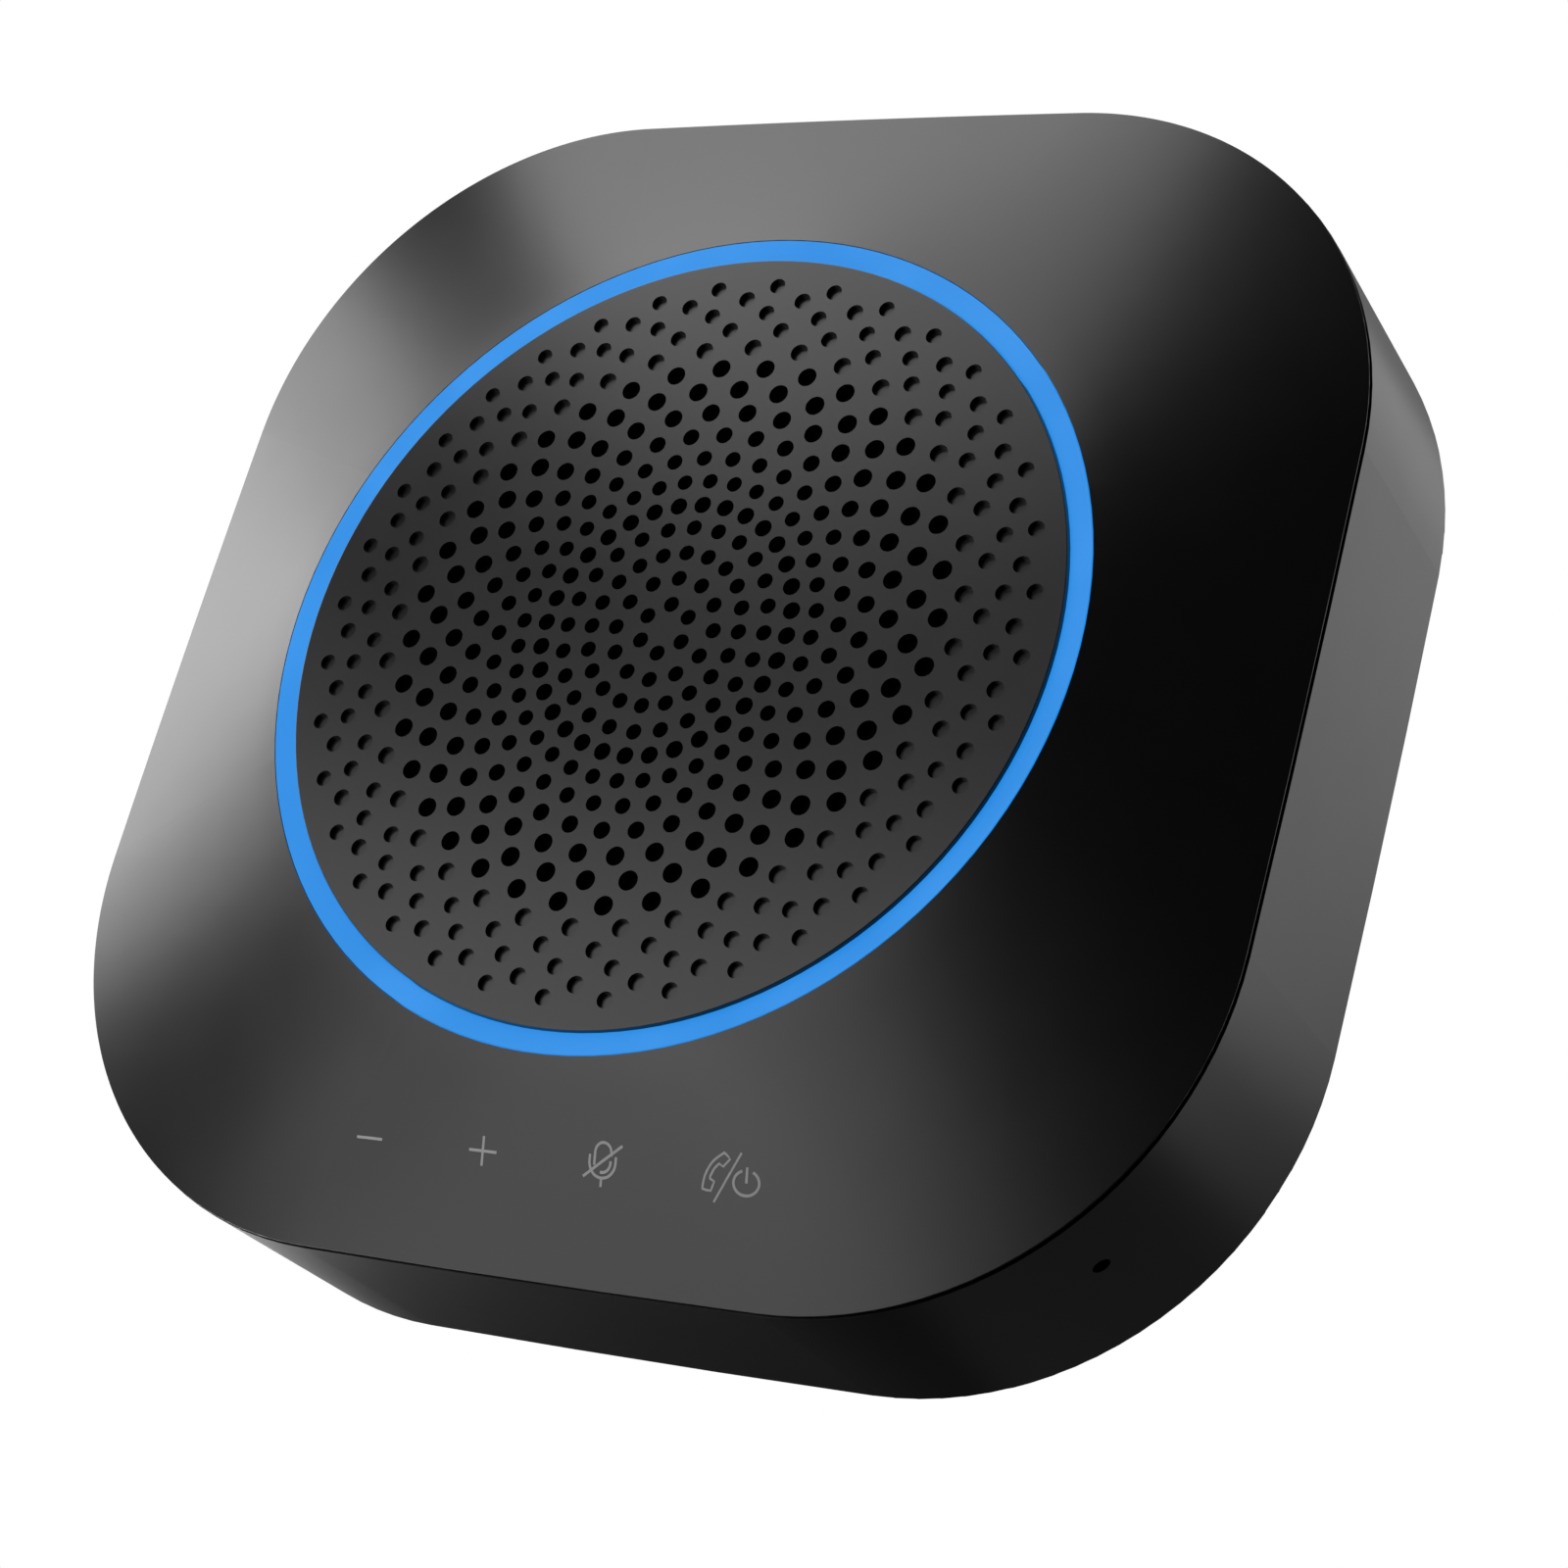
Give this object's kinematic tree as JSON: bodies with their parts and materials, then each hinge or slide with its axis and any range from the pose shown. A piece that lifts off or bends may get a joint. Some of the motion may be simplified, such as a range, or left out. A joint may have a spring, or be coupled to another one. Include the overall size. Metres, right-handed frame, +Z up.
{
  "type": "conference speakerphone",
  "caption": "Square desk speakerphone with rounded corners, sloping top, round perforated speaker grille inside a blue light ring, touch keys and corner microphones.",
  "frame": {"origin": "on the resting surface, under the middle of the round grille", "axes": "+Z up through the grille, +X to the right, -Y towards the touch keys at the front, +Y towards the cable socket at the back"},
  "size_m": [0.1252, 0.1252, 0.0339],
  "materials": {
    "acoustic_cloth": "fine black weave",
    "basket_steel": "black electrocoat",
    "black_steel": "black oxide",
    "box_plastic": "textured black",
    "capacitor_can": "drawn can",
    "case_plastic": "satin black, fine moulded grain",
    "cell_wrap": "shrink sleeve",
    "chip_epoxy": "moulded epoxy",
    "cone_paper": "pressed black pulp",
    "copper_wire": "enamelled copper",
    "cover_plastic": "satin black, fine moulded grain",
    "ferrite": "moulded ferrite",
    "flex_polyimide": "polyimide film",
    "foam": "closed-cell foam",
    "former_aluminium": "thin rolled foil",
    "green_board": "green solder mask",
    "grille_plastic": "satin black, moulded holes",
    "led_body": "clear epoxy over phosphor",
    "light_guide": "frosted, lit blue",
    "magnet_nickel": "nickel plated",
    "red_wire": "soft PVC",
    "rubber": "matt silicone",
    "socket_nylon": "natural nylon",
    "socket_steel": "nickel-plated stainless",
    "socket_tongue": "black liquid-crystal polymer",
    "spider_cloth": "phenolic-dipped cotton",
    "tin_plate": "tin plated",
    "white_board": "white solder mask",
    "wire_insulation": "soft PVC",
    "zinc_steel": "zinc plated"
  },
  "bodies": {
    "housing": {"amplifier_chip": "chip_epoxy", "audio_processor": "chip_epoxy", "baffle_screws": "zinc_steel", "battery_cell": "cell_wrap", "battery_leads": "red_wire", "battery_pad": "foam", "board_screws": "zinc_steel", "board_sockets": "socket_nylon", "bottom_case": "case_plastic", "cable_socket_shell": "socket_steel", "cable_socket_tongue": "socket_tongue", "capacitors": "capacitor_can", "case_screws": "black_steel", "charger_chip": "chip_epoxy", "driver_basket": "basket_steel", "driver_gasket": "foam", "driver_magnet": "magnet_nickel", "driver_screws": "black_steel", "driver_spider": "spider_cloth", "driver_surround": "rubber", "grille_cloth": "acoustic_cloth", "inductors": "ferrite", "lead_grommet": "rubber", "led_board": "white_board", "led_cable": "flex_polyimide", "light_guide_ring": "light_guide", "magnet_yoke": "zinc_steel", "main_board": "green_board", "mic_board_back_left": "green_board", "mic_board_back_right": "green_board", "mic_board_front_left": "green_board", "mic_board_front_right": "green_board", "mic_boot_back_left": "rubber", "mic_boot_back_right": "rubber", "mic_boot_front_left": "rubber", "mic_boot_front_right": "rubber", "mic_cables": "wire_insulation", "mic_capsules": "tin_plate", "pole_plate": "zinc_steel", "ring_leds": "led_body", "rubber_foot_back_left": "rubber", "rubber_foot_back_right": "rubber", "rubber_foot_front_left": "rubber", "rubber_foot_front_right": "rubber", "speaker_baffle": "box_plastic", "speaker_box": "box_plastic", "speaker_grille": "grille_plastic", "speaker_leads": "wire_insulation", "tinsel_leads": "copper_wire", "top_cover": "cover_plastic", "touch_board": "white_board", "touch_cable": "flex_polyimide", "touch_pads": "foam", "wireless_chip": "chip_epoxy", "wireless_shield": "tin_plate"},
    "cone_assembly": {"driver_cone": "cone_paper", "dust_cap": "cone_paper", "coil_former": "former_aluminium", "coil_winding": "copper_wire"}
  },
  "joints": [
    {"name": "cone_stroke", "type": "slide", "parent": "housing", "child": "cone_assembly", "axis": [0, 0, 1], "range_m": [-0.0015, 0.0015], "stiffness_N_per_m": 1500, "deforming": ["driver_surround", "driver_spider", "tinsel_leads"]}
  ]
}
